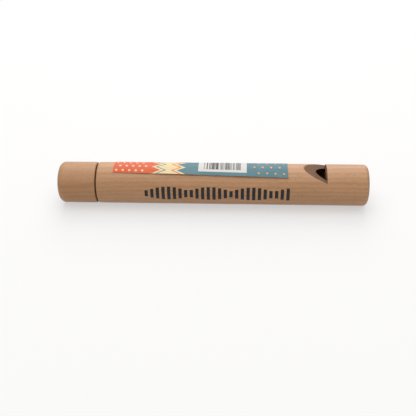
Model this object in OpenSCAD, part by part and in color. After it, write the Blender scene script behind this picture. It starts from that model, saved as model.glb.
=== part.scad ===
// Slide whistle: a round wooden barrel with a notch and a blocked mouth end,
// and a slide whose piston shortens the air column when it is pushed in.
// X runs along the barrel, towards the mouth. The notch faces +Z.
// The origin is on the axis, at the mouth face.

/* [Barrel] */
// Length of the barrel, from the mouth face to the handle end
barrel_length = 183; // [160:1:220]
// Outer diameter of the barrel and of the handle
barrel_d = 28; // [26:0.5:34]
// Thickness of the barrel's wall
wall_t = 3; // [2:0.1:4]
// Radius of the rounded edge at the mouth
mouth_round = 3; // [0.5:0.1:3.5]
// Radius of the eased edge at the handle end
barrel_ease = 1.2; // [0.3:0.1:2]

/* [Notch] */
// Distance from the mouth face to the upright wall of the notch
notch_wall_at = 28; // [20:0.5:32]
// Length of the ramp, from the wall to where it runs out
notch_run = 16; // [12:0.5:20]
// How far the foot of the wall lies below the crown of the bore
notch_bite = 2.4; // [1.8:0.1:3.5]

/* [Fipple block] */
// Height of the windway at its middle, from the planed flat up to the bore
windway_height = 1.6; // [1:0.1:2.2]
// Length of the sloped entry where the mouth end of the flat is cut away
windway_entry_run = 5; // [2:0.5:10]
// How far the sloped entry drops at the mouth face
windway_entry_drop = 0.9; // [0.2:0.1:1.5]

/* [Handle] */
// Length of the handle
handle_length = 26.5; // [20:0.5:34]
// Radius of the rounded outer end of the handle
handle_round = 4.2; // [1:0.1:6]
// Radius of the eased inner edge of the handle
handle_ease = 1.2; // [0.3:0.1:2]
// Gap between the handle and the barrel when the slide is pushed in
handle_gap = 0.5; // [0.3:0.1:3]
// Depth of the rod's socket in the handle
handle_socket_depth = 18; // [10:0.5:19]

/* [Slide rod] */
// Diameter of the dowel
rod_d = 10; // [8:0.5:12]

/* [Piston] */
// Distance from the mouth face to the front of the seal, pushed in
piston_rest_at = 50; // [46:0.5:60]
// Length of the wooden piston head
head_length = 8; // [7:0.5:14]
// Radial gap between the head and the bore
head_gap = 0.3; // [0.2:0.05:0.6]
// Depth of the rod's socket in the head
head_socket_depth = 5; // [3:0.5:6]
// Length of the seal
seal_length = 4; // [2:0.5:6]
// Radial running gap between the seal and the bore
seal_gap = 0.08; // [0.02:0.01:0.1]
// Depth of the groove round the middle of the seal
seal_groove = 0.7; // [0.3:0.1:1.2]
// Diameter of the washer
washer_d = 16; // [12:0.5:18]
// Thickness of the washer
washer_t = 1.2; // [0.8:0.1:2]

/* [Piston screw] */
// Diameter of the shank
screw_d = 3; // [2.5:0.1:4]
// Length of the shank under the head
screw_length = 20; // [16:0.5:26]
// Diameter of the screw's head
screw_head_d = 6.4; // [5.5:0.1:8]
// Height of the screw's head
screw_head_h = 2.2; // [1.6:0.1:3]
// Width of the driver slot
slot_w = 0.8; // [0.5:0.1:1.2]
// Depth of the driver slot
slot_depth = 0.9; // [0.5:0.1:1.3]
// Length of the shank's point
screw_point = 3; // [1:0.5:4]

/* [End collar] */
// Length of the collar that guides the rod
collar_length = 12.7; // [8:0.1:20]
// Radial running gap between the rod and the collar
rod_gap = 0.08; // [0.02:0.01:0.1]
// Size of the chamfers where the rod enters the collar
collar_chamfer = 0.8; // [0.3:0.1:1.5]

/* [Label] */
// Distance from the barrel's handle end to the label
label_at = 11.5; // [6:0.5:20]
// Length of the label along the barrel
label_length = 117.5; // [80:0.5:120]
// Thickness of the paper
label_t = 0.15; // [0.1:0.05:0.4]
// Angle that the label covers around the barrel
label_span_angle = 100; // [40:1:160]
// Angle of the label's middle, turned back from the notch
label_turn_angle = 25; // [0:1:90]

/* [Fits] */
// Gap left for glue round a piece that is glued in, and at the bottom of a socket
glue_gap = 0.05; // [0.02:0.01:0.1]
// Radial gap between the screw and the holes it passes through
screw_gap = 0.1; // [0.05:0.05:0.3]
// Gap that the piston keeps from the collar when the slide is pulled out
stop_gap = 0.3; // [0.1:0.1:1]

/* [Hidden] */
$fn = 96;

barrel_r = barrel_d / 2;
bore_r = barrel_r - wall_t;
rod_r = rod_d / 2;
screw_r = screw_d / 2;

// Planes across the axis, from the mouth back to the handle
seal_front_x = -piston_rest_at;
washer_front_x = seal_front_x + washer_t;
head_front_x = seal_front_x - seal_length;
head_back_x = head_front_x - head_length;
rod_front_x = head_back_x + head_socket_depth;
collar_front_x = collar_length - barrel_length;
barrel_back_x = -barrel_length;
handle_front_x = barrel_back_x - handle_gap;
rod_back_x = handle_front_x - handle_socket_depth;
handle_back_x = handle_front_x - handle_length;

// How far the slide pulls out before the head meets the collar
slide_travel = head_back_x - collar_front_x - stop_gap;
echo(slide_travel = slide_travel);
echo(total_length = -handle_back_x);

// Overrun of every cut past the face that it opens
cut_over = 1;

barrel_wood = "burlywood";
rod_wood = "wheat";
block_wood = "tan";

// Places a shape that was made upwards from zero along X, starting at back_x
module along_x(back_x) {
    translate([back_x, 0, 0]) rotate([0, 90, 0]) children();
}

// A round bar with its two end edges rounded, made upwards from zero
module rounded_bar(length, r, back_round, front_round) {
    rotate_extrude() union() {
        square([r - back_round, length - front_round]);
        translate([0, back_round]) square([r, length - back_round - front_round]);
        translate([0, back_round]) square([r - front_round, length - back_round]);
        intersection() {
            translate([r - back_round, back_round]) circle(back_round);
            square([r, length]);
        }
        intersection() {
            translate([r - front_round, length - front_round]) circle(front_round);
            square([r, length]);
        }
    }
}

// The wedge that is cut away: an upright wall on the mouth's side and a
// ramp that rises from its foot to the surface of the barrel
module notch_wedge() {
    foot_z = bore_r - notch_bite;
    notch_depth = wall_t + notch_bite;
    over_run = notch_run * (notch_depth + cut_over) / notch_depth;
    rotate([90, 0, 0])
        linear_extrude(height = barrel_d + 2 * cut_over, center = true)
            polygon([
                [-notch_wall_at, foot_z],
                [-notch_wall_at, barrel_r + cut_over],
                [-notch_wall_at - over_run, barrel_r + cut_over]
            ]);
}

// The tube. The ramp leaves a sharp lip where it meets the bore, across
// the D-shaped window from the windway
module barrel() {
    color(barrel_wood)
        difference() {
            along_x(barrel_back_x)
                rounded_bar(barrel_length, barrel_r, barrel_ease, mouth_round);
            along_x(barrel_back_x - cut_over)
                cylinder(h = barrel_length + 2 * cut_over, r = bore_r);
            notch_wedge();
        }
}

// The plug that closes the mouth end under a planed flat. The flat and the
// bore above it are the windway, whose entry slopes down at the mouth
module fipple_block() {
    flat_z = bore_r - windway_height;
    color(block_wood)
        difference() {
            along_x(-notch_wall_at)
                cylinder(h = notch_wall_at, r = bore_r - glue_gap);
            translate([-notch_wall_at - cut_over, -bore_r, flat_z])
                cube([notch_wall_at + 2 * cut_over, 2 * bore_r, windway_height]);
            rotate([90, 0, 0])
                linear_extrude(height = 2 * bore_r, center = true)
                    polygon([
                        [-windway_entry_run, flat_z],
                        [0, flat_z - windway_entry_drop],
                        [cut_over, flat_z - windway_entry_drop],
                        [cut_over, flat_z + windway_height],
                        [-windway_entry_run, flat_z + windway_height]
                    ]);
        }
}

// The bush that closes the handle end and guides the rod
module end_collar() {
    hole_r = rod_r + rod_gap;
    flare_r = hole_r + collar_chamfer;
    color(block_wood)
        difference() {
            along_x(barrel_back_x)
                cylinder(h = collar_length, r = bore_r - glue_gap);
            along_x(barrel_back_x - cut_over)
                cylinder(h = collar_length + 2 * cut_over, r = hole_r);
            along_x(barrel_back_x)
                cylinder(h = collar_chamfer, r1 = flare_r, r2 = hole_r);
            along_x(collar_front_x - collar_chamfer)
                cylinder(h = collar_chamfer, r1 = hole_r, r2 = flare_r);
        }
}

// The strip of paper round the upper side of the barrel
module paper_label() {
    inner_r = barrel_r + glue_gap;
    half_turn = 180;
    color("sandybrown")
        along_x(barrel_back_x + label_at)
            rotate([0, 0, half_turn - label_turn_angle - label_span_angle / 2])
                rotate_extrude(angle = label_span_angle)
                    translate([inner_r, 0]) square([label_t, label_length]);
}

// The knob on the end of the rod, turned to the barrel's own diameter
module slide_handle() {
    color(barrel_wood)
        difference() {
            along_x(handle_back_x)
                rounded_bar(handle_length, barrel_r, handle_round, handle_ease);
            along_x(rod_back_x - glue_gap)
                cylinder(
                    h = handle_socket_depth + glue_gap + cut_over,
                    r = rod_r + glue_gap
                );
        }
}

// The dowel between handle and piston, drilled for the screw
module slide_rod() {
    screw_tip_x = washer_front_x - screw_length;
    color(rod_wood)
        difference() {
            along_x(rod_back_x)
                cylinder(h = rod_front_x - rod_back_x, r = rod_r);
            along_x(screw_tip_x - glue_gap)
                cylinder(
                    h = rod_front_x - screw_tip_x + glue_gap + cut_over,
                    r = screw_r + glue_gap
                );
        }
}

// The wooden disc that fills the bore, with a socket for the rod behind
module piston_head() {
    color(block_wood)
        difference() {
            along_x(head_back_x)
                cylinder(h = head_length, r = bore_r - head_gap);
            along_x(head_back_x - cut_over)
                cylinder(
                    h = head_socket_depth + glue_gap + cut_over,
                    r = rod_r + glue_gap
                );
            along_x(head_back_x)
                cylinder(h = head_length + cut_over, r = screw_r + screw_gap);
        }
}

// The soft ring that runs against the bore on two lips
module piston_seal() {
    seal_r = bore_r - seal_gap;
    lip_share = 0.3;
    color("gray")
        difference() {
            along_x(head_front_x)
                cylinder(h = seal_length, r = seal_r);
            along_x(head_front_x - cut_over)
                cylinder(h = seal_length + 2 * cut_over, r = screw_r + screw_gap);
            along_x(head_front_x + lip_share * seal_length)
                difference() {
                    cylinder(h = (1 - 2 * lip_share) * seal_length, r = seal_r + cut_over);
                    cylinder(h = (1 - 2 * lip_share) * seal_length, r = seal_r - seal_groove);
                }
        }
}

// The flat washer that spreads the screw's pull over the seal
module piston_washer() {
    color("silver")
        difference() {
            along_x(seal_front_x)
                cylinder(h = washer_t, r = washer_d / 2);
            along_x(seal_front_x - cut_over)
                cylinder(h = washer_t + 2 * cut_over, r = screw_r + screw_gap);
        }
}

// The round-headed screw, with its slot across and a pointed shank
module piston_screw() {
    head_r = screw_head_d / 2;
    dome_r = (head_r * head_r + screw_head_h * screw_head_h) / (2 * screw_head_h);
    color("lightgray")
        difference() {
            along_x(washer_front_x - screw_length)
                rotate_extrude() union() {
                    polygon([
                        [0, 0],
                        [screw_r, screw_point],
                        [screw_r, screw_length],
                        [0, screw_length]
                    ]);
                    translate([0, screw_length]) intersection() {
                        square([head_r, screw_head_h]);
                        translate([0, screw_head_h - dome_r]) circle(dome_r);
                    }
                }
            translate([washer_front_x + screw_head_h - slot_depth, -head_r, -slot_w / 2])
                cube([slot_depth + cut_over, screw_head_d, slot_w]);
        }
}

barrel();
fipple_block();
end_collar();
paper_label();
slide_handle();
slide_rod();
piston_head();
piston_seal();
piston_washer();
piston_screw();
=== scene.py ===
import math

import bmesh
import bpy
import numpy as np
from mathutils import Matrix, Vector


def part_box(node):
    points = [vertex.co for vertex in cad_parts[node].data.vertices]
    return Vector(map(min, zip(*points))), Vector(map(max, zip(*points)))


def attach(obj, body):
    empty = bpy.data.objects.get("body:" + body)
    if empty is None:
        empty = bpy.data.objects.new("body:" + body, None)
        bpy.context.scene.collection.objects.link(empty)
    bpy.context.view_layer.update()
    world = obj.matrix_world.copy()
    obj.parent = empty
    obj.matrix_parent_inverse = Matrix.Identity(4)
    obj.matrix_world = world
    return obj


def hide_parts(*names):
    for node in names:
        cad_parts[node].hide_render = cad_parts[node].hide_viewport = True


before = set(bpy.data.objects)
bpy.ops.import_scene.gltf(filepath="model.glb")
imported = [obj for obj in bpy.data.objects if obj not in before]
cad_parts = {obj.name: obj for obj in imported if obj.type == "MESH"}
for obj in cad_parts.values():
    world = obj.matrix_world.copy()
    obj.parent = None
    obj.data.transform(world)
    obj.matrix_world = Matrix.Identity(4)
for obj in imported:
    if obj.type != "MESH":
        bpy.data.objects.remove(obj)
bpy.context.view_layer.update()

# Each piece of a wooden slide whistle is made anew, with its finish, in place of its plain solid

# Places and sizes, in metres. X runs along the barrel towards the mouth, and the notch faces +Z
MM = 0.001
BARREL_BACK, MOUTH = (corner[0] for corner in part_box("barrel"))
BLOCK_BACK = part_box("fipple_block")[0][0]
COLLAR_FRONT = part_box("end_collar")[1][0]
LABEL_BACK, LABEL_FRONT = (corner[0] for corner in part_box("paper_label"))
HANDLE_BACK, HANDLE_FRONT = (corner[0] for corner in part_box("slide_handle"))
ROD_BACK, ROD_FRONT = (corner[0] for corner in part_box("slide_rod"))
HEAD_BACK, HEAD_FRONT = (corner[0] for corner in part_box("piston_head"))
SEAL_BACK, SEAL_FRONT = (corner[0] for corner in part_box("piston_seal"))
WASHER_BACK, WASHER_FRONT = (corner[0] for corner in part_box("piston_washer"))
SCREW_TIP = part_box("piston_screw")[0][0]

# Gaps, and the rounding of edges: EASE where barrel and handle meet, SMALL_EDGE on small pieces and
# round holes, BROKEN_EDGE where an edge is only sanded
GLUE_GAP = 0.05 * MM
RUNNING_GAP = 0.08 * MM
HEAD_GAP = 0.3 * MM
SCREW_GAP = 0.1 * MM
EASE = 1.2 * MM
SMALL_EDGE = 0.35 * MM
BROKEN_EDGE = 0.16 * MM

# The barrel, its bore and its notch, whose ramp falls to NOTCH_FOOT above the axis over NOTCH_RUN
BARREL_R = 14 * MM
BORE_R = 11 * MM
MOUTH_ROUND = 3 * MM
NOTCH_RUN = 16 * MM
NOTCH_FOOT = 8.6 * MM

# The handle and its rod
HANDLE_ROUND = 4.2 * MM
HANDLE_CROWN = 0.25 * MM
ROD_R = 5 * MM
SOCKET_R = ROD_R + GLUE_GAP

# The block, whose flat lies FLAT_Z above the axis and falls by ENTRY_DROP at the mouth, and the collar
PLUG_R = BORE_R - GLUE_GAP
FLAT_Z = 9.4 * MM
ENTRY_RUN = 5 * MM
ENTRY_DROP = 0.9 * MM
COLLAR_HOLE_R = ROD_R + RUNNING_GAP
COLLAR_FLARE = 0.8 * MM

# The piston's head, seal and washer
HEAD_R = BORE_R - HEAD_GAP
HEAD_EDGE = 0.6 * MM
SEAL_R = BORE_R - RUNNING_GAP
SEAL_EDGE = 0.45 * MM
SEAL_LIP = 1.2 * MM
SEAL_HOLLOW = 0.7 * MM
HOLLOW_POWER = 0.7
WASHER_R = 8 * MM
WASHER_EDGE = 0.3 * MM

# The screw: a slotted dome on a shank that is plain at first, then threaded, then pointed
SCREW_R = 1.5 * MM
SCREW_HEAD_R = 3.2 * MM
SCREW_HEAD_H = 2.2 * MM
SLOT_HALF = 0.4 * MM
SLOT_DEPTH = 0.9 * MM
SCREW_PLAIN = 6 * MM
SCREW_POINT = 3 * MM
THREAD_PITCH = 1.2 * MM
THREAD_DEPTH = 0.3 * MM
THREAD_FADE = 1 * MM
SCREW_HOLE_R = SCREW_R + SCREW_GAP
PILOT_R = SCREW_R + GLUE_GAP

# The label goes LABEL_TURN round the barrel. Its near edge lies NEAR_EDGE down from the top at the
# handle end, and NEAR_SLANT further down at the other
LABEL_INNER_R = BARREL_R + GLUE_GAP
LABEL_THICKNESS = 0.15 * MM
LABEL_LENGTH = LABEL_FRONT - LABEL_BACK
LABEL_TURN = math.radians(100)
NEAR_EDGE = math.radians(25.2)
NEAR_SLANT = math.radians(11.0)

# How the near edge stands off the barrel: over what share of the width and how high, what the two
# corners add, and over what share of the length it grows, from what share of its height
LOOSE_SHARE = 0.24
LOOSE_LIFT = 1.15 * MM
CORNER_SHARE = 0.018
CORNER_LIFT = 0.15 * MM
GROWTH_SHARE = 0.3
LEAST_SHARE = 0.15

# The camera stands above and in front of the whistle, CAMERA_REACH from the barrel's axis and
# CAMERA_RISE up from the level, and looks down by CAMERA_DOWN
CAMERA_X = -84.98 * MM
CAMERA_REACH = 470.27 * MM
CAMERA_RISE = math.radians(37.0)
CAMERA_DOWN = math.radians(39.004)
CAMERA_TURN = math.radians(-3.548)
CAMERA_ROLL = math.radians(-1.463)
CAMERA_CLIP = 10 * MM
FOCAL_PIXELS = 685.0
PICTURE_PIXELS = 416.0
SENSOR_MM = 36.0


def add_camera():
    """Aims the camera by its turn and its angle down, then rolls it about its own line of sight."""
    data = bpy.data.cameras.new("camera")
    data.sensor_width = SENSOR_MM
    data.lens = FOCAL_PIXELS * SENSOR_MM / PICTURE_PIXELS
    data.clip_start = CAMERA_CLIP
    camera = bpy.data.objects.new("camera", data)
    bpy.context.scene.collection.objects.link(camera)
    flat, drop = math.cos(CAMERA_DOWN), math.sin(CAMERA_DOWN)
    ahead = np.array([math.sin(CAMERA_TURN) * flat, math.cos(CAMERA_TURN) * flat, -drop])
    level = np.array([math.cos(CAMERA_TURN), -math.sin(CAMERA_TURN), 0.0])
    above = np.cross(level, ahead)
    right = math.cos(CAMERA_ROLL) * level + math.sin(CAMERA_ROLL) * above
    up = math.cos(CAMERA_ROLL) * above - math.sin(CAMERA_ROLL) * level
    in_front, height = CAMERA_REACH * math.cos(CAMERA_RISE), CAMERA_REACH * math.sin(CAMERA_RISE)
    place = np.eye(4)
    place[:3, :3] = np.stack([right, up, -ahead], 1)
    place[:3, 3] = CAMERA_X, -in_front, height
    camera.matrix_world = Matrix(place.tolist())
    bpy.context.scene.camera = camera


add_camera()

# Mesh making. A piece is a set of grids whose shared edges have the same points

FULL_TURN = 2 * math.pi
WELD = 2e-6
CREASE = math.radians(26)
BEVEL_STEPS = 3


def patch(points, uv=None, material=0):
    """One grid, rows by columns by 3, with its UV grid and the number of its material."""
    uv = np.zeros((*points.shape[:2], 2)) if uv is None else uv
    return points, uv, material


def surface(x, y, z):
    """One grid from three coordinates, each of them a grid, a column, a row or a number."""
    return patch(np.stack(np.broadcast_arrays(x, y, z), -1))


def carried_round(x, radius, angle):
    """y = -radius sin(angle) and z = radius cos(angle): angle 0 is up, at the notch."""
    return surface(x, -radius * np.sin(angle), radius * np.cos(angle))


def build(name, patches, finishes, edge=0.0):
    """Joins the grids, welds the edges they share, turns every face outwards, and gives the creases
    a rounded edge of that width."""
    points, uvs, faces, slots = [], [], [], []
    start = 0
    for grid, uv, material in patches:
        rows, columns = grid.shape[:2]
        index = np.arange(rows * columns).reshape(rows, columns)
        corners = (index[:-1, :-1], index[1:, :-1], index[1:, 1:], index[:-1, 1:])
        quads = np.stack([corner.ravel() for corner in corners], 1)
        points.append(grid.reshape(-1, 3))
        uvs.append(uv.reshape(-1, 2)[quads.ravel()])
        faces.append(quads + start)
        slots.append(np.full(len(quads), material))
        start += rows * columns
    mesh = bpy.data.meshes.new(name)
    mesh.from_pydata(np.concatenate(points), [], np.concatenate(faces).tolist())
    for finish in finishes:
        mesh.materials.append(finish)
    mesh.polygons.foreach_set("material_index", np.concatenate(slots).astype(np.int32))
    mesh.polygons.foreach_set("use_smooth", np.ones(len(mesh.polygons), bool))
    layer = mesh.uv_layers.new(name="surface")
    layer.data.foreach_set("uv", np.concatenate(uvs).ravel().astype(np.float32))
    work = bmesh.new()
    work.from_mesh(mesh)
    bmesh.ops.remove_doubles(work, verts=work.verts, dist=WELD)
    bmesh.ops.recalc_face_normals(work, faces=work.faces)
    work.to_mesh(mesh)
    work.free()
    mesh.set_sharp_from_angle(angle=CREASE)
    piece = bpy.data.objects.new(name, mesh)
    bpy.context.scene.collection.objects.link(piece)
    if edge:
        bevel = piece.modifiers.new("broken_edges", "BEVEL")
        bevel.width = edge
        bevel.segments = BEVEL_STEPS
        bevel.limit_method = "ANGLE"
        bevel.angle_limit = CREASE
    normals = piece.modifiers.new("even_shading", "WEIGHTED_NORMAL")
    normals.keep_sharp = True
    return piece


def dress(piece, body, node):
    """The piece rides on its body and stands in for its node, which is hidden."""
    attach(piece, body)
    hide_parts(node)


def line(start, end, steps=1):
    """Evenly spaced points between two points of a profile."""
    share = np.linspace(0, 1, steps + 1)[:, None]
    return np.asarray(start) * (1 - share) + np.asarray(end) * share


def arc(x, radius, size, start, end, steps=8):
    """Points of an arc round (x, radius). Degrees count from +X towards the outside. size is the
    arc's radius, or its reach along X and its reach outwards."""
    turn = np.radians(np.linspace(start, end, steps + 1))
    along, outwards = np.broadcast_to(size, 2)
    return np.stack([x + along * np.cos(turn), radius + outwards * np.sin(turn)], 1)


def swept(profile, angles):
    """The (x, radius) points of a profile carried round the X axis."""
    return carried_round(profile[:, :1], profile[:, 1:], angles)


def turned(name, stretches, finish, edge=0.0, columns=144):
    """A piece made on a lathe. Its profile is a closed loop, or starts and ends on the axis."""
    full_circle = np.linspace(0, FULL_TURN, columns + 1)
    return build(name, [swept(np.concatenate(stretches), full_circle)], [finish], edge)


def rounded_outside(back, front, outer, edge):
    """The outside of a lathe profile, from the back face forward, with both edges rounded."""
    return [
        arc(back + edge, outer - edge, edge, 180, 90),
        line((back + edge, outer), (front - edge, outer), steps=8),
        arc(front - edge, outer - edge, edge, 90, 0),
    ]


# Barrel: a tube with the notch. Round the notch the rows follow its rim, one row for each height z
# of the cut, so that the outside, the ramp, the wall and the bore share their edges

ROUND_COLUMNS = 150
SIDE_COLUMNS = 18
WINDOW_COLUMNS = 32
TUBE_ROWS = 30
TIP_ROWS = 20
WINDOW_ROWS = 18
WALL_ROWS = 8
FRONT_ROWS = 12
EDGE_STEPS = 4

# The notch's rounded edge fades where the ramp is narrower than TIP_FADE to each side, where the wall
# is nearer than WALL_FADE, and where the wall is lower than LOW_FADE
TIP_FADE = 1 * MM
WALL_FADE = 0.5 * MM
LOW_FADE = 0.6 * MM


def notch_rim():
    """The cut's plane leaves the surface at height z where the angle is acos(z / BARREL_R), and the
    bore where it is acos(z / BORE_R). Gives columns of x, z, the rim's angle, the window's angle (0
    before the window opens) and the width of the rim's rounded edge, which fades at both ends."""
    slope = (BARREL_R - NOTCH_FOOT) / NOTCH_RUN
    tip_z = BARREL_R * np.cos(np.linspace(0, math.acos(BORE_R / BARREL_R), TIP_ROWS + 1))
    window = np.linspace(0, math.acos(NOTCH_FOOT / BORE_R), WINDOW_ROWS + 1)
    z = np.concatenate([tip_z, BORE_R * np.cos(window[1:])])[:, None]
    x = BLOCK_BACK - (z - NOTCH_FOOT) / slope
    rim = np.arccos(np.clip(z / BARREL_R, -1, 1))
    window = np.concatenate([np.zeros(TIP_ROWS), window])[:, None]
    fade = np.minimum(BARREL_R * np.sin(rim) / TIP_FADE, (BLOCK_BACK - x) / WALL_FADE)
    return x, z, rim, window, BROKEN_EDGE * np.clip(fade, 0, 1)


def bend_weights():
    """The weights of a curve's start, corner and end: (1 - t)^2, 2 t (1 - t) and t^2."""
    t = np.linspace(0, 1, EDGE_STEPS + 1)
    return (1 - t) ** 2, 2 * t * (1 - t), t**2


def ramp_patches(x, z, rim, window, edge):
    """The ramp: one grid up to the window, then a strip on each side of it, and the rim's rounded
    edge, a curve from the ramp to the outside that bends round the sharp rim."""
    tip, side = slice(0, TIP_ROWS + 1), slice(TIP_ROWS, None)
    half = BARREL_R * np.sin(rim) - edge
    inner = BORE_R * np.sin(window)
    strip = inner + (half - inner) * np.linspace(0, 1, SIDE_COLUMNS + 1)
    start, middle, end = bend_weights()
    outer_rim = rim + edge / BARREL_R
    edge_y = half * start + BARREL_R * np.sin(rim) * middle + BARREL_R * np.sin(outer_rim) * end
    edge_z = z * (start + middle) + BARREL_R * np.cos(outer_rim) * end
    patches = [surface(x[tip], half[tip] * np.linspace(-1, 1, 2 * SIDE_COLUMNS + 1), z[tip])]
    for way in (-1, 1):
        patches.append(surface(x[side], way * strip[side], z[side]))
        patches.append(surface(x, way * edge_y, edge_z))
    return patches


def notch_wall(rim, window):
    """The upright wall, from its foot and the window's arch up to the surface, in straight columns.
    Gives the grid, the columns' angles at the surface and at the bore, and how wide the rounded
    edge on top of each is."""
    across = np.linspace(0, 1, SIDE_COLUMNS + 1)
    arch = np.linspace(window, -window, WINDOW_COLUMNS + 1)
    flank = window + (rim - window) * across
    top = np.concatenate([flank[::-1], arch[1:-1], -flank])
    beside = np.full(SIDE_COLUMNS, window)
    bore = np.concatenate([beside, arch, -beside])
    inner, outer = BORE_R * math.sin(window), BARREL_R * math.sin(rim)
    foot = inner + (outer - inner) * across
    low_y = np.concatenate([-foot[::-1], -BORE_R * np.sin(arch[1:-1]), foot])
    low_z = BORE_R * np.cos(bore)
    edge = BROKEN_EDGE * np.clip((BARREL_R * np.cos(top) - low_z) / LOW_FADE, 0, 1)
    up = np.linspace(0, 1, WALL_ROWS + 1)[:, None]
    y = low_y + (-(BARREL_R - edge) * np.sin(top) - low_y) * up
    z = low_z + ((BARREL_R - edge) * np.cos(top) - low_z) * up
    return surface(BLOCK_BACK, y, z), top, bore, edge


def mouth_patches(top, bore, edge, beside, beside_bore):
    """In front of the notch: the rounded edge over the wall, the outside, the rounded mouth and the
    bore, where the columns slide from the rim's angles to the window's on their way in."""
    angles = np.concatenate([top[::-1], beside[1:]])
    inner_angles = np.concatenate([bore[::-1], beside_bore[1:]])
    edge = np.concatenate([edge[::-1], np.zeros(len(beside) - 1)])
    turn = np.linspace(0, math.pi / 2, EDGE_STEPS + 1)[:, None]
    over_x = BLOCK_BACK + edge * (1 - np.cos(turn))
    over_r = BARREL_R - edge * (1 - np.sin(turn))
    share = np.linspace(0, 1, FRONT_ROWS + 1)[:, None]
    outside_x = over_x[-1] + (MOUTH - MOUTH_ROUND - over_x[-1]) * share
    lip_x, lip_r = MOUTH - SMALL_EDGE, BORE_R + SMALL_EDGE
    mouth = np.concatenate([
        arc(MOUTH - MOUTH_ROUND, lip_r, (MOUTH_ROUND, BARREL_R - lip_r), 90, 0, steps=12),
        arc(lip_x, lip_r, SMALL_EDGE, 0, -90, steps=4),
    ])
    inside_x = lip_x + (BLOCK_BACK - lip_x) * share
    return [
        carried_round(over_x, over_r, angles),
        carried_round(outside_x, BARREL_R, angles),
        swept(mouth, angles),
        carried_round(inside_x, BORE_R, angles * (1 - share) + inner_angles * share),
    ]


def make_barrel(finish):
    """The tube behind the notch and beside it, then the notch, then the mouth end."""
    x, z, rim, window, edge = notch_rim()
    share = np.linspace(0, 1, ROUND_COLUMNS + 1)

    def around(start):
        return start + (FULL_TURN - 2 * start) * share

    side = slice(TIP_ROWS, None)
    back_x, back_r = BARREL_BACK + SMALL_EDGE, BORE_R + SMALL_EDGE
    back = np.concatenate([
        line((x[0, 0], BARREL_R), (BARREL_BACK + EASE, BARREL_R), steps=TUBE_ROWS),
        arc(BARREL_BACK + EASE, BARREL_R - EASE, EASE, 90, 180),
        arc(back_x, back_r, SMALL_EDGE, 180, 270, steps=4),
        line((back_x, BORE_R), (x[TIP_ROWS, 0], BORE_R), steps=TUBE_ROWS),
    ])
    beside = around(rim + edge / BARREL_R)
    beside_bore = around(window[side])
    wall, top, bore, top_edge = notch_wall(rim[-1, 0], window[-1, 0])
    piece = build("barrel_tube", [
        swept(back, around(0)),
        carried_round(x, BARREL_R, beside),
        carried_round(x[side], BORE_R, beside_bore),
        *ramp_patches(x, z, rim, window, edge),
        wall,
        *mouth_patches(top, bore, top_edge, beside[-1], beside_bore[-1]),
    ], [finish])
    dress(piece, "barrel", "barrel")


# The pieces glued into the barrel

BLOCK_ROWS = 3
BLOCK_COLUMNS = 120
FLAT_COLUMNS = 24
CAP_SHARES = 1, 0.9, 0.5, 0


def make_fipple_block(finish):
    """A bar of radius PLUG_R cut off at a flat, whose height falls in a straight line over the entry.
    A cap is the end section drawn in towards the axis, by CAP_SHARES."""
    entry = MOUTH - ENTRY_RUN
    level_x = np.linspace(BLOCK_BACK, entry, BLOCK_ROWS + 1)
    x = np.concatenate([level_x, [(entry + MOUTH) / 2, MOUTH]])[:, None]
    flat_z = FLAT_Z - ENTRY_DROP * np.clip((x - entry) / ENTRY_RUN, 0, 1)
    rim = np.arccos(flat_z / PLUG_R)
    angles = rim + (FULL_TURN - 2 * rim) * np.linspace(0, 1, BLOCK_COLUMNS + 1)
    flat_y = PLUG_R * np.sin(rim) * np.linspace(1, -1, FLAT_COLUMNS + 1)[1:]
    y = np.concatenate([-PLUG_R * np.sin(angles), flat_y], 1)
    z = np.concatenate([PLUG_R * np.cos(angles), np.broadcast_to(flat_z, flat_y.shape)], 1)
    drawn_in = np.array(CAP_SHARES)[:, None]
    caps = [surface(x[end], y[end] * drawn_in, z[end] * drawn_in) for end in (0, -1)]
    piece = build("block_plug", [surface(x, y, z), *caps], [finish], BROKEN_EDGE)
    dress(piece, "barrel", "fipple_block")


def make_end_collar(finish):
    """A bush whose hole opens in a cone at both ends."""
    flare_r = COLLAR_HOLE_R + COLLAR_FLARE
    front_cone, back_cone = COLLAR_FRONT - COLLAR_FLARE, BARREL_BACK + COLLAR_FLARE
    piece = turned("collar_bush", [
        *rounded_outside(BARREL_BACK, COLLAR_FRONT, PLUG_R, SMALL_EDGE),
        line((COLLAR_FRONT, flare_r), (front_cone, COLLAR_HOLE_R), steps=2),
        line((front_cone, COLLAR_HOLE_R), (back_cone, COLLAR_HOLE_R), steps=8),
        line((back_cone, COLLAR_HOLE_R), (BARREL_BACK, flare_r), steps=2),
        line((BARREL_BACK, flare_r), (BARREL_BACK, PLUG_R - SMALL_EDGE), steps=2),
    ], finish, BROKEN_EDGE)
    dress(piece, "barrel", "end_collar")


# The slide

CROWN_ROWS = 8
HOLLOW_ROWS = 14


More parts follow.
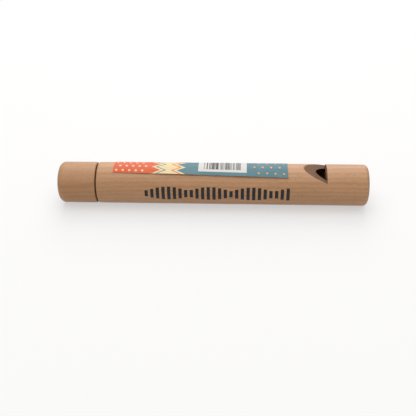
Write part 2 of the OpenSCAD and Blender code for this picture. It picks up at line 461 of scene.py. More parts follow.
def make_slide_handle(finish):
    """A knob with a rounded outer end, crowned by the square of the reach from the axis, and a socket
    for the rod in its inner face."""
    crown_edge = BARREL_R - HANDLE_ROUND
    reach = np.linspace(0, 1, CROWN_ROWS + 1)[:, None]
    crown = np.concatenate([HANDLE_BACK + HANDLE_CROWN * reach**2, crown_edge * reach], 1)
    round_x = HANDLE_BACK + HANDLE_ROUND
    round_size = HANDLE_ROUND - HANDLE_CROWN, HANDLE_ROUND
    lip_x, lip_r = HANDLE_FRONT - SMALL_EDGE, SOCKET_R + SMALL_EDGE
    bottom = ROD_BACK - GLUE_GAP
    piece = turned("handle_knob", [
        crown,
        arc(round_x, crown_edge, round_size, 180, 90, steps=14),
        line((round_x, BARREL_R), (HANDLE_FRONT - EASE, BARREL_R), steps=10),
        arc(HANDLE_FRONT - EASE, BARREL_R - EASE, EASE, 90, 0),
        line((HANDLE_FRONT, BARREL_R - EASE), (HANDLE_FRONT, lip_r), steps=3),
        arc(lip_x, lip_r, SMALL_EDGE, 0, -90, steps=4),
        line((lip_x, SOCKET_R), (bottom, SOCKET_R), steps=8),
        line((bottom, SOCKET_R), (bottom, 0), steps=3),
    ], finish)
    dress(piece, "slide", "slide_handle")


def make_slide_rod(finish):
    """The dowel, with its ends sanded round and a pilot hole for the screw."""
    pilot_end = SCREW_TIP - GLUE_GAP
    piece = turned("rod_dowel", [
        line((ROD_BACK, 0), (ROD_BACK, ROD_R - SMALL_EDGE), steps=3),
        *rounded_outside(ROD_BACK, ROD_FRONT, ROD_R, SMALL_EDGE),
        line((ROD_FRONT, PILOT_R), (pilot_end, PILOT_R), steps=6),
        line((pilot_end, PILOT_R), (pilot_end, 0), steps=2),
    ], finish, columns=72)
    dress(piece, "slide", "slide_rod")


def make_piston_head(finish):
    """A disc with the rod's socket behind and the screw's hole through the rest."""
    bottom = ROD_FRONT + GLUE_GAP
    piece = turned("piston_disc", [
        *rounded_outside(HEAD_BACK, HEAD_FRONT, HEAD_R, HEAD_EDGE),
        line((HEAD_FRONT, SCREW_HOLE_R), (bottom, SCREW_HOLE_R), steps=3),
        line((bottom, SOCKET_R), (HEAD_BACK, SOCKET_R), steps=4),
        line((HEAD_BACK, SOCKET_R), (HEAD_BACK, HEAD_R - HEAD_EDGE), steps=3),
    ], finish, BROKEN_EDGE)
    dress(piece, "slide", "piston_head")


def make_piston_seal(finish):
    """A soft ring with two rounded lips and a hollow between them, half a sine wave to the power
    HOLLOW_POWER."""
    share = np.linspace(0, 1, HOLLOW_ROWS + 1)[:, None]
    hollow_x = SEAL_BACK + SEAL_LIP + (SEAL_FRONT - SEAL_BACK - 2 * SEAL_LIP) * share
    hollow_r = SEAL_R - SEAL_HOLLOW * np.clip(np.sin(math.pi * share), 0, 1) ** HOLLOW_POWER
    piece = turned("seal_ring", [
        arc(SEAL_BACK + SEAL_EDGE, SEAL_R - SEAL_EDGE, SEAL_EDGE, 180, 90, steps=6),
        np.concatenate([hollow_x, hollow_r], 1),
        arc(SEAL_FRONT - SEAL_EDGE, SEAL_R - SEAL_EDGE, SEAL_EDGE, 90, 0, steps=6),
        line((SEAL_FRONT, SCREW_HOLE_R), (SEAL_BACK, SCREW_HOLE_R), steps=4),
        line((SEAL_BACK, SCREW_HOLE_R), (SEAL_BACK, SEAL_R - SEAL_EDGE), steps=3),
    ], finish)
    dress(piece, "slide", "piston_seal")


def make_piston_washer(finish):
    """A flat ring, its outer edges rounded where it was punched."""
    piece = turned("washer_ring", [
        *rounded_outside(WASHER_BACK, WASHER_FRONT, WASHER_R, WASHER_EDGE),
        line((WASHER_FRONT, SCREW_HOLE_R), (WASHER_BACK, SCREW_HOLE_R), steps=2),
        line((WASHER_BACK, SCREW_HOLE_R), (WASHER_BACK, WASHER_R - WASHER_EDGE), steps=3),
    ], finish, columns=96)
    dress(piece, "slide", "piston_washer")


SCREW_END_COLUMNS = 5
SCREW_FLOOR_COLUMNS = 14
SCREW_SLOT_ROWS = 4
SCREW_DOME_ROWS = 14
SCREW_WALL_ROWS = 3
SCREW_SHANK_ROWS = 180


def screw_head_patches():
    """A dome, x = centre + sqrt(R R - y y - z z), cut by a slot |z| < SLOT_HALF with a flat floor.
    Gives the grids and the z values of the points on the dome's rim."""
    rim_r = SCREW_HEAD_R
    dome_r = (rim_r**2 + SCREW_HEAD_H**2) / (2 * SCREW_HEAD_H)
    centre = WASHER_FRONT + SCREW_HEAD_H - dome_r
    floor = WASHER_FRONT + SCREW_HEAD_H - SLOT_DEPTH
    slot_r = math.sqrt(dome_r**2 - (floor - centre) ** 2)

    def dome(y, z):
        return centre + np.sqrt(np.maximum(dome_r**2 - y**2 - z**2, 0))

    across = np.linspace(0, 1, SCREW_END_COLUMNS + 1)
    slot_z = np.linspace(-SLOT_HALF, SLOT_HALF, SCREW_SLOT_ROWS + 1)[:, None]
    slot_end, rim_y = np.sqrt(slot_r**2 - slot_z**2), np.sqrt(rim_r**2 - slot_z**2)
    end_y = slot_end + (rim_y - slot_end) * across
    floor_y = slot_end * np.linspace(-1, 1, SCREW_FLOOR_COLUMNS + 1)
    share = np.concatenate([-end_y[-1, ::-1], floor_y[-1, 1:-1], end_y[-1]]) / rim_y[-1]
    side_z = np.linspace(SLOT_HALF, rim_r, SCREW_DOME_ROWS + 1)[:, None]
    side_y = np.sqrt(np.maximum(rim_r**2 - side_z**2, 0)) * share
    up = np.linspace(0, 1, SCREW_WALL_ROWS + 1)[:, None]
    wall_x = floor + (dome(floor_y[-1], SLOT_HALF) - floor) * up
    patches = [surface(floor, floor_y, slot_z)]
    for way in (-1, 1):
        patches.append(surface(dome(end_y, slot_z), way * end_y, slot_z))
        patches.append(surface(dome(side_y, side_z), side_y, way * side_z))
        patches.append(surface(wall_x, floor_y[-1], way * SLOT_HALF))
    return patches, np.concatenate([-side_z[::-1, 0], slot_z[1:-1, 0], side_z[:, 0]])


def make_piston_screw(finish):
    """The head with a shank under it, whose radius is cut by a thread, a triangle wave of x / pitch +
    angle / turn, and falls to nothing over the point."""
    patches, rim_z = screw_head_patches()
    half = np.arctan2(np.sqrt(np.maximum(SCREW_HEAD_R**2 - rim_z**2, 0)), rim_z)[::-1]
    angles = np.concatenate([half, FULL_TURN - half[-2::-1]])
    length = WASHER_FRONT - SCREW_TIP
    along = np.linspace(0, length, SCREW_SHANK_ROWS + 1)[:, None]
    depth = THREAD_DEPTH * np.clip((along - SCREW_PLAIN) / THREAD_FADE, 0, 1)
    wave = (along / THREAD_PITCH + angles / FULL_TURN) % 1
    radius = (SCREW_R - depth * np.abs(2 * wave - 1)) * np.clip((length - along) / SCREW_POINT, 0, 1)
    under_r = SCREW_HEAD_R + (SCREW_R - SCREW_HEAD_R) * np.linspace(0, 1, SCREW_WALL_ROWS + 1)[:, None]
    patches.append(carried_round(WASHER_FRONT, under_r, angles))
    patches.append(carried_round(WASHER_FRONT - along, radius, angles))
    piece = build("screw_body", patches, [finish])
    dress(piece, "slide", "piston_screw")


# The label

LABEL_ROWS = 160
LABEL_COLUMNS = 60


def make_label(printed, plain):
    """A strip of paper bent round the barrel. Its near edge runs at a slight slant. Along that edge
    the paper stays straight where the barrel bends away, so it stands off by the square of the
    reach, in slow waves: 0.8 + 0.12 sin(19 s) + 0.08 sin(43 s + 1), where s is the share of the
    length. It stands off least at the handle end, and a little more at its two near corners."""
    along = np.linspace(0, 1, LABEL_ROWS + 1)[:, None]
    across = np.linspace(0, 1, LABEL_COLUMNS + 1)
    angle = NEAR_EDGE + NEAR_SLANT * along - LABEL_TURN * across
    near_edge = np.clip(1 - across / LOOSE_SHARE, 0, 1) ** 2
    waves = 0.8 + 0.12 * np.sin(19 * along) + 0.08 * np.sin(43 * along + 1)
    growth = np.clip(along / GROWTH_SHARE, LEAST_SHARE, 1)
    corners = np.exp(-along / CORNER_SHARE) + np.exp(-(1 - along) / CORNER_SHARE)
    lift = (LOOSE_LIFT * waves * growth + CORNER_LIFT * corners) * near_edge
    x = LABEL_BACK + LABEL_LENGTH * along
    inner = carried_round(x, LABEL_INNER_R + lift, angle)[0]
    outer = carried_round(x, LABEL_INNER_R + LABEL_THICKNESS + lift, angle)[0]
    uv = np.stack(np.broadcast_arrays(along, across), -1)
    rims = (np.s_[0], np.s_[-1], np.s_[:, 0], np.s_[:, -1])
    edges = [patch(np.stack([inner[rim], outer[rim]]), material=1) for rim in rims]
    patches = [patch(outer, uv), patch(inner, material=1), *edges]
    piece = build("label_strip", patches, [printed, plain])
    dress(piece, "barrel", "paper_label")


# Shader maths

NOISE_ROUGHNESS = 0.55


class Wire:
    """A value in a node tree. Arithmetic on it adds Math nodes."""

    def __init__(self, tree, socket):
        self.tree = tree
        self.socket = socket

    def maths(self, operation, *values):
        return self.tree.add("ShaderNodeMath", {"operation": operation}, dict(enumerate(values)))

    def __add__(self, other):
        return self.maths("ADD", self, other)

    def __radd__(self, other):
        return self.maths("ADD", other, self)

    def __sub__(self, other):
        return self.maths("SUBTRACT", self, other)

    def __rsub__(self, other):
        return self.maths("SUBTRACT", other, self)

    def __mul__(self, other):
        return self.maths("MULTIPLY", self, other)

    def __rmul__(self, other):
        return self.maths("MULTIPLY", other, self)

    def __truediv__(self, other):
        return self.maths("DIVIDE", self, other)

    def __abs__(self):
        return self.maths("ABSOLUTE", self)

    def fraction(self):
        return self.maths("FRACT", self)

    def whole(self):
        return self.maths("FLOOR", self)

    def root(self):
        return self.maths("SQRT", self)

    def sine(self):
        return self.maths("SINE", self)

    def angle_to(self, other):
        return self.maths("ARCTAN2", self, other)


class Finish:
    """The node tree of one material, or of the world."""

    def __init__(self, owner):
        owner.use_nodes = True
        self.owner = owner
        self.nodes = owner.node_tree.nodes
        self.links = owner.node_tree.links
        self.nodes.clear()

    def add(self, kind, settings=None, values=None, output=0):
        """Adds a node: its settings first, then its inputs, set or linked. Gives one of its outputs."""
        node = self.nodes.new(kind)
        for name, setting in (settings or {}).items():
            setattr(node, name, setting)
        for name, value in (values or {}).items():
            if isinstance(value, Wire):
                self.links.new(value.socket, node.inputs[name])
            else:
                node.inputs[name].default_value = value
        return Wire(self, node.outputs[output]) if node.outputs else None

    def split(self, vector):
        """A vector's three values."""
        node = self.add("ShaderNodeSeparateXYZ", values={0: vector}).socket.node
        return [Wire(self, output) for output in node.outputs]

    def place(self):
        """The point on the object itself, which is also its place in the frame."""
        return self.add("ShaderNodeTexCoord", output="Object")

    def noise(self, point, scale, detail=2.0):
        """Noise about 0.5 at a point. scale counts features a metre along each axis, or along all."""
        axes = np.broadcast_to(scale, 3).tolist()
        scaled = self.add("ShaderNodeVectorMath", {"operation": "MULTIPLY"}, {0: point, 1: axes})
        values = {"Vector": scaled, "Scale": 1.0, "Detail": detail, "Roughness": NOISE_ROUGHNESS}
        return self.add("ShaderNodeTexNoise", values=values)

    def step(self, value, low, high):
        """Rises smoothly from 0 at low to 1 at high."""
        values = {"Value": value, "From Min": low, "From Max": high}
        return self.add("ShaderNodeMapRange", {"interpolation_type": "SMOOTHSTEP"}, values)

    def rise(self, value, level, soft):
        """0 below a level and 1 above it, with a soft change."""
        return self.step(value, level - soft, level + soft)

    def between(self, value, low, high, soft):
        """1 between low and high, with soft ends."""
        return self.rise(value, low, soft) * (1 - self.rise(value, high, soft))

    def mix(self, share, first, second):
        """One colour turned into another by a share."""
        values = {0: share, 6: first, 7: second}
        return self.add("ShaderNodeMix", {"data_type": "RGBA"}, values, output=2)

    def bump(self, height, strength, depth):
        """A relief's normal, from its height, its strength and how deep, in metres, a height of 1 is."""
        values = {"Height": height, "Strength": strength, "Distance": depth}
        return self.add("ShaderNodeBump", values=values)

    def close(self, **sockets):
        """Ends a material in one Principled shader. Its sockets are named with _ for a space."""
        values = {name.replace("_", " "): value for name, value in sockets.items()}
        shader = self.add("ShaderNodeBsdfPrincipled", values=values)
        self.add("ShaderNodeOutputMaterial", values={"Surface": shader})
        return self.owner


def srgb(red, green, blue):
    """A colour as it looks on screen, 0 to 255, turned into the linear one that a shader takes."""
    screen = np.array([red, green, blue]) / 255
    linear = np.where(screen <= 0.04045, screen / 12.92, ((screen + 0.055) / 1.055) ** 2.4)
    return (*linear.tolist(), 1.0)


# Wood

FLECK_BROWN = srgb(112, 78, 56)
END_TAN = srgb(140, 100, 70)
END_BROWN = srgb(92, 62, 41)
WOOD_GLOSS = 0.36
WOOD_ROUGH = 0.32
FIBRE_ROUGH = 0.2
GRAIN_RELIEF = 0.35, 0.09 * MM
PITH_LEAN_Y = 0.035
PITH_LEAN_Z = -0.02

# Features a metre along X, Y and Z. The rays' are a radian round the pith, then a metre away from it
RING_BENDS = 10, 55, 55
STREAKS = 28, 380, 380
FIBRES = 240, 4800, 4800
FLECKS = 560, 3400, 3400
RAYS = 110, 240, 0
LATHE_MARKS = 1500, 70, 70

# RING_WANDER is how many rings the bends move a ring by at most. Over these shares of its width a
# ring darkens and then ends. A fleck or a ray is where its noise rises from the first value to the
# second
RING_WANDER = 1.4
RING_DARKENS = 0.2, 0.9
RING_ENDS = 0.93, 1
FLECK_RISE = 0.6, 0.68
RAY_RISE = 0.56, 0.68

# What each adds to the tone, where 0 is light and 1 is dark, along the grain and then on its ends,
# how much of a fleck's brown shows, and what each adds to the height of the relief
RING_TONE, STREAK_TONE, FIBRE_TONE, BASE_TONE = 0.2, 0.45, 0.8, 0.3
RING_END_TONE, FIBRE_END_TONE, RAY_END_TONE, BASE_END_TONE = 0.6, 0.8, -0.4, 0.28
FLECK_SHARE = 0.35
FIBRE_HEIGHT, FLECK_HEIGHT, LATHE_HEIGHT = 0.6, -0.5, 0.4

# The faces cut across the grain: where each lies on X, how far its end grain reaches into its
# rounded edge, and how strong it is there. It keeps that strength over END_CORE of its reach, then
# fades. The seam is where barrel and handle meet: there the darkening reaches further and is
# stronger, partly end grain and partly painted shade in the gap between them
END_CORE = 0.05
END_SHARE = 0.5
SEAM_GRAIN_AND_SHADE_SHARE = 0.6
END_STRENGTH = 0.6
SEAM_GRAIN_AND_SHADE_STRENGTH = 0.7
SEAM_GRAIN_AND_SHADE = SEAM_GRAIN_AND_SHADE_SHARE * EASE, SEAM_GRAIN_AND_SHADE_STRENGTH
SMALL_END = SMALL_EDGE, END_STRENGTH
MOUTH_END = END_SHARE * MOUTH_ROUND, END_STRENGTH
KNOB_END = HANDLE_CROWN + END_SHARE * HANDLE_ROUND, END_STRENGTH
PLUG_FACES = BLOCK_BACK, MOUTH, BARREL_BACK, COLLAR_FRONT, HEAD_BACK, HEAD_FRONT
BARREL_ENDS = (BARREL_BACK, *SEAM_GRAIN_AND_SHADE), (MOUTH, *MOUTH_END)
HANDLE_ENDS = (HANDLE_BACK, *KNOB_END), (HANDLE_FRONT, *SEAM_GRAIN_AND_SHADE)
ROD_ENDS = (ROD_BACK, *SMALL_END), (ROD_FRONT, *SMALL_END)
PLUG_ENDS = [(face, BROKEN_EDGE, END_STRENGTH) for face in PLUG_FACES]

# Each wood: its light and dark tone, its pith's y and z where x is 0, the gap between its rings,
# and its faces cut across the grain
BARREL_BEECH = srgb(197, 152, 112), srgb(154, 109, 72), (-38 * MM, -52 * MM), 2.9 * MM, BARREL_ENDS
HANDLE_BEECH = srgb(189, 143, 103), srgb(145, 100, 64), (26 * MM, -60 * MM), 3.1 * MM, HANDLE_ENDS
BLOCK_BEECH = srgb(190, 147, 105), srgb(142, 100, 66), (30 * MM, -44 * MM), 2.4 * MM, PLUG_ENDS
ROD_BIRCH = srgb(222, 192, 148), srgb(186, 148, 104), (-22 * MM, -30 * MM), 2.0 * MM, ROD_ENDS


def wood_grain(tree, point, light, dark, pith, ring_gap, ends):
    """Solid wood, cut open wherever the surface lies. Growth rings are the fraction of r / ring_gap
    round a far pith line that leans against X, bent by slow noise: a ring darkens slowly and ends
    sharply. Streaks, fibre and flecks are noise stretched along X, and faint lathe marks run round
    it. On the ends, the rings stand out, crossed by rays, thin lines that lead away from the pith.
    Gives colour, fibre and height."""
    x, y, z = tree.split(point)
    off_y = y + x * PITH_LEAN_Y - pith[0]
    off_z = z + x * PITH_LEAN_Z - pith[1]
    radius = (off_y * off_y + off_z * off_z).root()
    ring = (radius / ring_gap + tree.noise(point, RING_BENDS) * RING_WANDER).fraction()
    late = tree.step(ring, *RING_DARKENS) * (1 - tree.step(ring, *RING_ENDS))
    streak = tree.noise(point, STREAKS) - 0.5
    fibre = tree.noise(point, FIBRES, detail=3.0)
    fleck = tree.step(tree.noise(point, FLECKS, detail=1.0), *FLECK_RISE)
    tone = late * RING_TONE + streak * STREAK_TONE + (fibre - 0.5) * FIBRE_TONE + BASE_TONE
    colour = tree.mix(fleck * FLECK_SHARE, tree.mix(tone, light, dark), FLECK_BROWN)
    from_pith = tree.add("ShaderNodeCombineXYZ", values={0: off_y.angle_to(off_z), 1: radius})
    ray = tree.step(tree.noise(from_pith, RAYS, detail=1.0), *RAY_RISE)
    end_tone = late * RING_END_TONE + (fibre - 0.5) * FIBRE_END_TONE + ray * RAY_END_TONE
    end_colour = tree.mix(end_tone + BASE_END_TONE, END_TAN, END_BROWN)
    # At the seam this darkening is partly end grain and partly painted shade in the gap between barrel and
    # handle
    for face, reach, strength in ends:
        end_grain = 1 - tree.step(abs(x - face), END_CORE * reach, reach)
        colour = tree.mix(end_grain * strength, colour, end_colour)
    height = fibre * FIBRE_HEIGHT + fleck * FLECK_HEIGHT + tree.noise(point, LATHE_MARKS) * LATHE_HEIGHT
    return colour, fibre, height


def close_wood(tree, colour, rough, height):
    """Ends a wood's material, with the gloss and the depth of relief that all the woods have."""
    normal = tree.bump(height, *GRAIN_RELIEF)
    return tree.close(Base_Color=colour, Roughness=rough, Normal=normal, Specular_IOR_Level=WOOD_GLOSS)


def turned_wood(name, wood):
    """Wood as it leaves the lathe and the sanding belt."""
    tree = Finish(bpy.data.materials.new(name))
    colour, fibre, height = wood_grain(tree, tree.place(), *wood)
    return close_wood(tree, colour, WOOD_ROUGH + fibre * FIBRE_ROUGH, height)


# The bars printed on the side of the barrel, in a row whose heights rise and fall. BAR_SHARES are
# where a bar begins and ends in its pitch
INK = srgb(20, 16, 16)
BARS_BACK = -150 * MM
BAR_COUNT = 26
BAR_PITCH = 3.8 * MM
BAR_SHARES = 0.03, 0.62
BARS_ANGLE = math.radians(84)
BAR_HALF_LOW = 2.4 * MM
BAR_HALF_RISE = 2.7 * MM
BAR_WAVE = 0.42
INK_FRAY = 0.35 * MM
INK_FRAYS = 2600
INK_SOFT = 0.05 * MM
BAR_SOFT_SHARE = 0.02
ROW_SOFT_SHARE = 0.001


def side_bars(tree, point, x, y, z):
    """A bar is a share of each pitch along X, as high above and below its middle line round the
    barrel as BAR_HALF_LOW + BAR_HALF_RISE |sin(BAR_WAVE number)|. Noise frays the ink's edge."""
    place = (x - BARS_BACK) / BAR_PITCH
    number = place.whole()
    half = abs((number * BAR_WAVE).sine()) * BAR_HALF_RISE + BAR_HALF_LOW
    fray = (tree.noise(point, INK_FRAYS, detail=1.0) - 0.5) * INK_FRAY
    up = abs(((0 - y).angle_to(z) - BARS_ANGLE) * BARREL_R) + fray
    high = 1 - tree.rise(up - half, 0, INK_SOFT)
    wide = tree.between(place - number + fray / BAR_PITCH, *BAR_SHARES, BAR_SOFT_SHARE)
    return high * wide * tree.between(place, 0, BAR_COUNT, ROW_SOFT_SHARE)


# The notch's cut faces carry painted shade, a darker brown, up to the first of CUT_RADII, and none
# at the second: by NOTCH_SHADE_SHARE, and by up to SAW_SHADE_SHARE more in the saw marks. Ink lies
# only on the outside: it starts at the first of INK_RADII and is full at the second, and WEAR_SHARE
# of it is worn off where the fibre stands high
NOTCH_SHADE_BROWN = srgb(76, 52, 38)
CUT_RADII = BARREL_R - 0.5 * MM, BARREL_R - 0.05 * MM
CUT_SOFT = 0.1 * MM
NOTCH_SHADE_SHARE = 0.55
CUT_ROUGH = 0.3
SAW_MARKS = 2200, 90, 2200
SAW_SHADE_SHARE = 0.5
SAW_HEIGHT = 1.2
INK_RADII = BARREL_R - 0.4 * MM, BARREL_R - 0.2 * MM
INK_ROUGH = 0.05
INK_HEIGHT = 0.15
WEAR_RISE = 0.6, 0.75
WEAR_SHARE = 0.3


def barrel_wood():
    """Turned beech, printed on one side, where the ink is worn off the highest fibres. The notch's
    cut faces are rougher, and darker brown as painted shade in the notch."""
    tree = Finish(bpy.data.materials.new("barrel_beech"))
    point = tree.place()
    x, y, z = tree.split(point)
    radius = (y * y + z * z).root()
    colour, fibre, height = wood_grain(tree, point, *BARREL_BEECH)
    cut = tree.between(x, BLOCK_BACK - NOTCH_RUN, BLOCK_BACK + CUT_SOFT, CUT_SOFT)
    cut = cut * (1 - tree.step(radius, *CUT_RADII))
    saw = tree.noise(point, SAW_MARKS)
    # Painted shade: the notch's cut faces turn towards a dark brown, more in the saw marks
    colour = tree.mix(cut * (saw * SAW_SHADE_SHARE + NOTCH_SHADE_SHARE), colour, NOTCH_SHADE_BROWN)
    ink = side_bars(tree, point, x, y, z) * tree.step(radius, *INK_RADII)
    wear = tree.step(fibre, *WEAR_RISE) * WEAR_SHARE
    colour = tree.mix(ink * (1 - wear), colour, INK)
    rough = WOOD_ROUGH + fibre * FIBRE_ROUGH + cut * CUT_ROUGH + ink * INK_ROUGH
    return close_wood(tree, colour, rough, height + saw * cut * SAW_HEIGHT + ink * INK_HEIGHT)


# Paper

ORANGE = srgb(202, 75, 12)
CREAM = srgb(216, 193, 144)
BLUE = srgb(62, 107, 116)
AMBER = srgb(222, 152, 64)
PANEL_WHITE = srgb(201, 198, 193)
PAPER_WHITE = srgb(226, 220, 208)
PAPER_SHADE = srgb(204, 192, 172)
PRINT_GLOSS = 0.36
PRINT_ROUGH = 0.38
PRINT_RELIEF = 0.22, 0.05 * MM
BACK_FIBRES = 1800
BACK_ROUGH = 0.85
BACK_RELIEF = 0.3, 0.05 * MM

# Fine fibres and slow clouds in the print: features a metre, how much of the paper's white each lets
# through, and how much rougher the fibres make it
PRINT_FIBRES = 2400
PRINT_CLOUDS = 120
FIBRE_PALING = 0.3
CLOUD_PALING = 0.2
PRINT_FIBRE_ROUGH = 0.16

# The print, in millimetres along the strip from its handle end and across it from its near edge
LABEL_WIDTH = LABEL_TURN * (LABEL_INNER_R + LABEL_THICKNESS)
PRINT_SOFT = 0.08
ZIGZAG_PITCH = 6.2
ZIGZAG_HEIGHT = 6
CREAM_START = 26
BLUE_LINE = 28.6, 30
ORANGE_LINE = 45, 46.4
BLUE_START = 49

# The dots lie over DOT_ROWS across the strip. Each field of them: where it begins and ends along the
# strip, its pitch, its dots' radius and their colour
DOT_ROWS = 1, 22.6
DOT_FIELDS = (
    (1.1, 23, 4.4, 0.85, CREAM),
    (93.6, 116.2, 5.6, 0.7, AMBER),
)

# The white panel and the row of plain bars on it, each along the strip and across it
PANEL_ALONG = 57.5, 90
PANEL_ACROSS = 2.8, 20.5
PANEL_SOFT = 0.04
ROW_ALONG = 61.2, 86.4
ROW_ACROSS = 5, 18.3
ROW_END_SOFT = 0.02
ROW_PITCH = 0.9
ROW_SOFT = 0.04


def peaks(value, period):
    """A row of peaks: 0 at each whole period, 1 half way between."""
    return 1 - abs((value / period).fraction() - 0.5) * 2


def zigzag_fields(tree, along, across):
    """An orange field, a cream one and a blue one. Both borders of the cream one run in zigzags that
    point into it, and a thin line follows each."""
    zigzag = peaks(across, ZIGZAG_PITCH) * ZIGZAG_HEIGHT
    first, second = along - zigzag, along + zigzag
    colour = tree.mix(tree.rise(first, CREAM_START, PRINT_SOFT), ORANGE, CREAM)
    colour = tree.mix(tree.between(first, *BLUE_LINE, PRINT_SOFT), colour, BLUE)
    colour = tree.mix(tree.between(second, *ORANGE_LINE, PRINT_SOFT), colour, ORANGE)
    return tree.mix(tree.rise(second, BLUE_START, PRINT_SOFT), colour, BLUE)


def dots(tree, along, across, pitch, radius):
    """Round dots at the middle of square cells, every other row moved by half a cell."""
    row = (across / pitch).whole()
    shifted = along / pitch + row * 0.5
    off_u = (shifted.fraction() - 0.5) * pitch
    off_v = ((across / pitch).fraction() - 0.5) * pitch
    return 1 - tree.rise((off_u * off_u + off_v * off_v).root(), radius, PRINT_SOFT)


def panel_bars(tree, along, across):
    """A row of bars that all have the same pitch, each as wide as its own random share of it."""
    place = along / ROW_PITCH
    share = tree.add("ShaderNodeTexWhiteNoise", {"noise_dimensions": "1D"}, {"W": place.whole()})
    bar = 1 - tree.rise(place.fraction(), share, ROW_SOFT)
    row = tree.between(along, *ROW_ALONG, ROW_END_SOFT)
    return bar * row * tree.between(across, *ROW_ACROSS, PANEL_SOFT)


def printed_paper():
    """The printed side of the label: fields with zigzag borders, dots, and a white panel of bars."""
    tree = Finish(bpy.data.materials.new("label_print"))
    u, v, _ = tree.split(tree.add("ShaderNodeUVMap", {"uv_map": "surface"}))
    along, across = u * (LABEL_LENGTH / MM), v * (LABEL_WIDTH / MM)
    colour = zigzag_fields(tree, along, across)
    whole_rows = tree.between(across, *DOT_ROWS, PRINT_SOFT)
    for start, end, pitch, radius, ink in DOT_FIELDS:
        field = dots(tree, along, across, pitch, radius) * tree.between(along, start, end, PRINT_SOFT)
        colour = tree.mix(field * whole_rows, colour, ink)
    panel = tree.between(along, *PANEL_ALONG, PANEL_SOFT) * tree.between(across, *PANEL_ACROSS, PANEL_SOFT)
    colour = tree.mix(panel, colour, PANEL_WHITE)
    colour = tree.mix(panel_bars(tree, along, across), colour, INK)
    fibre = tree.noise(tree.place(), PRINT_FIBRES, detail=3.0)
    cloud = tree.noise(tree.place(), PRINT_CLOUDS)
    paling = (fibre - 0.5) * FIBRE_PALING + (cloud - 0.5) * CLOUD_PALING
    colour = tree.mix(paling, colour, PAPER_WHITE)
    rough = PRINT_ROUGH + fibre * PRINT_FIBRE_ROUGH
    normal = tree.bump(fibre, *PRINT_RELIEF)
    return tree.close(Base_Color=colour, Roughness=rough, Normal=normal, Specular_IOR_Level=PRINT_GLOSS)


def plain_paper():
    """The back and the cut edges of the label."""
    tree = Finish(bpy.data.materials.new("paper_back"))
    fibre = tree.noise(tree.place(), BACK_FIBRES, detail=3.0)
    colour = tree.mix(fibre, PAPER_WHITE, PAPER_SHADE)
    return tree.close(Base_Color=colour, Roughness=BACK_ROUGH, Normal=tree.bump(fibre, *BACK_RELIEF))


# Rubber and steel

RUBBER_BLACK = srgb(44, 44, 46)
RUBBER_GRAIN = 3200
RUBBER_ROUGH = 0.58
RUBBER_RELIEF = 0.4, 0.06 * MM
CHALK_GREY = srgb(82, 81, 80)
CHALK_PATCHES = 260
CHALK_RISE = 0.5, 0.75
CHALK_SHARE = 0.35
CHALK_ROUGH = 0.2
ZINC_GREY = srgb(205, 207, 208)
ZINC_CRYSTALS = 2600
ZINC_ROUGH = 0.24
CRYSTAL_ROUGH = 0.16
ZINC_RELIEF = 0.15, 0.03 * MM
CAST_YELLOW = srgb(206, 198, 172)
CAST_PATCHES = 180
CAST_RISE = 0.45, 0.7
CAST_SHARE = 0.5


def seal_rubber():
    """Matt black rubber with a fine moulded grain and a little chalk."""
    tree = Finish(bpy.data.materials.new("seal_rubber_black"))
    grain = tree.noise(tree.place(), RUBBER_GRAIN, detail=3.0)
    chalk = tree.step(tree.noise(tree.place(), CHALK_PATCHES), *CHALK_RISE)
    colour = tree.mix(chalk * CHALK_SHARE, RUBBER_BLACK, CHALK_GREY)
    rough = RUBBER_ROUGH + chalk * CHALK_ROUGH
    return tree.close(Base_Color=colour, Roughness=rough, Normal=tree.bump(grain, *RUBBER_RELIEF))


def plated_steel():
    """Bright zinc plate: fine crystals, and a faint yellow cast in patches."""
    tree = Finish(bpy.data.materials.new("zinc_plate"))
    crystal = tree.noise(tree.place(), ZINC_CRYSTALS)
    cast = tree.step(tree.noise(tree.place(), CAST_PATCHES), *CAST_RISE)
    colour = tree.mix(cast * CAST_SHARE, ZINC_GREY, CAST_YELLOW)
    rough = ZINC_ROUGH + crystal * CRYSTAL_ROUGH
    normal = tree.bump(crystal, *ZINC_RELIEF)
    return tree.close(Base_Color=colour, Metallic=1.0, Roughness=rough, Normal=normal)


# The room: a floor, a white background and three soft lamps. Near the whistle FLOOR_GLOW of the
# floor's look is its own white, and over the distances FLOOR_FADE that rises to all of it

MIDDLE = Vector(((HANDLE_BACK + MOUTH) / 2, 0, 0))
WHITE = 1.0, 1.0, 1.0, 1.0
FLOOR_TONE = srgb(231, 230, 228)
FLOOR_GLOW = 0.52
FLOOR_FADE = 0.1, 0.5
FLOOR_REACH = 6.0
WORLD_LIGHT = 0.34

# Each lamp: its name, its place, the length of its side and its power in watts
LAMPS = (
    ("key_lamp", (-0.15, 0.05, 1.0), 1.3, 9.5),
    ("back_lamp", (-0.1, 0.9, 0.7), 0.9, 6.5),
    ("fill_lamp", (0.5, -0.9, 0.5), 0.7, 0.5),
)


def seen_directly(tree):
    """1 where the camera, a mirror or glass looks, 0 where light is gathered."""
    camera = tree.add("ShaderNodeLightPath", output="Is Camera Ray")
    glossy = tree.add("ShaderNodeLightPath", output="Is Glossy Ray")
    through = tree.add("ShaderNodeLightPath", output="Is Transmission Ray")
    return camera.maths("MAXIMUM", camera, glossy.maths("MAXIMUM", glossy, through))


def add_world():
    """A white background that lights the object with WORLD_LIGHT of its strength."""
    world = bpy.data.worlds.new("studio")
    bpy.context.scene.world = world
    tree = Finish(world)
    strength = seen_directly(tree) * (1 - WORLD_LIGHT) + WORLD_LIGHT
    background = tree.add("ShaderNodeBackground", values={"Color": WHITE, "Strength": strength})
    tree.add("ShaderNodeOutputWorld", values={"Surface": background})


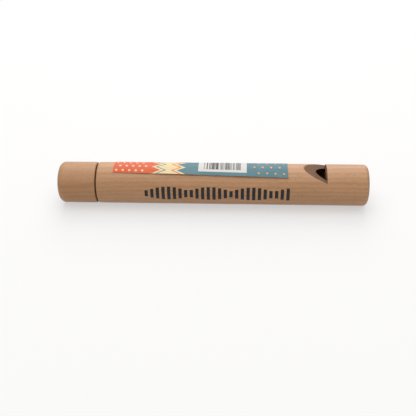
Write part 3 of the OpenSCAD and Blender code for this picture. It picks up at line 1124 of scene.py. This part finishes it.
def add_floor():
    """A wide level plane under the barrel. Near the whistle about half of its look is its own white,
    and far away all of it, so the background stays white and keeps a soft shadow."""
    floor_material = bpy.data.materials.new("studio_floor")
    tree = Finish(floor_material)
    matt = tree.add("ShaderNodeBsdfDiffuse", values={"Color": FLOOR_TONE})
    glow = tree.add("ShaderNodeEmission", values={"Color": WHITE, "Strength": 1.0})
    from_middle = {0: tree.place(), 1: MIDDLE}
    away = tree.add("ShaderNodeVectorMath", {"operation": "DISTANCE"}, from_middle, output="Value")
    own_white = tree.step(away, *FLOOR_FADE) * (1 - FLOOR_GLOW) + FLOOR_GLOW
    both = tree.add("ShaderNodeMixShader", values={0: seen_directly(tree) * own_white, 1: matt, 2: glow})
    tree.add("ShaderNodeOutputMaterial", values={"Surface": both})
    mesh = bpy.data.meshes.new("studio_floor")
    edge, level = FLOOR_REACH, -BARREL_R
    corners = [(-edge, -edge, level), (edge, -edge, level), (edge, edge, level), (-edge, edge, level)]
    mesh.from_pydata(corners, [], [(0, 1, 2, 3)])
    mesh.materials.append(floor_material)
    floor = bpy.data.objects.new("studio_floor", mesh)
    bpy.context.scene.collection.objects.link(floor)


def add_lamp(name, place, size, watts):
    """A square soft lamp aimed at the middle of the whistle."""
    data = bpy.data.lights.new(name, "AREA")
    data.size = size
    data.energy = watts
    lamp = bpy.data.objects.new(name, data)
    bpy.context.scene.collection.objects.link(lamp)
    lamp.location = place
    lamp.rotation_euler = (MIDDLE - lamp.location).to_track_quat("-Z", "Y").to_euler()


bpy.context.scene.view_settings.view_transform = "Standard"
add_world()
add_floor()
for lamp in LAMPS:
    add_lamp(*lamp)

block_wood = turned_wood("block_beech", BLOCK_BEECH)
steel = plated_steel()
make_barrel(barrel_wood())
make_fipple_block(block_wood)
make_end_collar(block_wood)
make_label(printed_paper(), plain_paper())
make_slide_handle(turned_wood("handle_beech", HANDLE_BEECH))
make_slide_rod(turned_wood("rod_birch", ROD_BIRCH))
make_piston_head(block_wood)
make_piston_seal(seal_rubber())
make_piston_washer(steel)
make_piston_screw(steel)

bpy.context.view_layer.update()
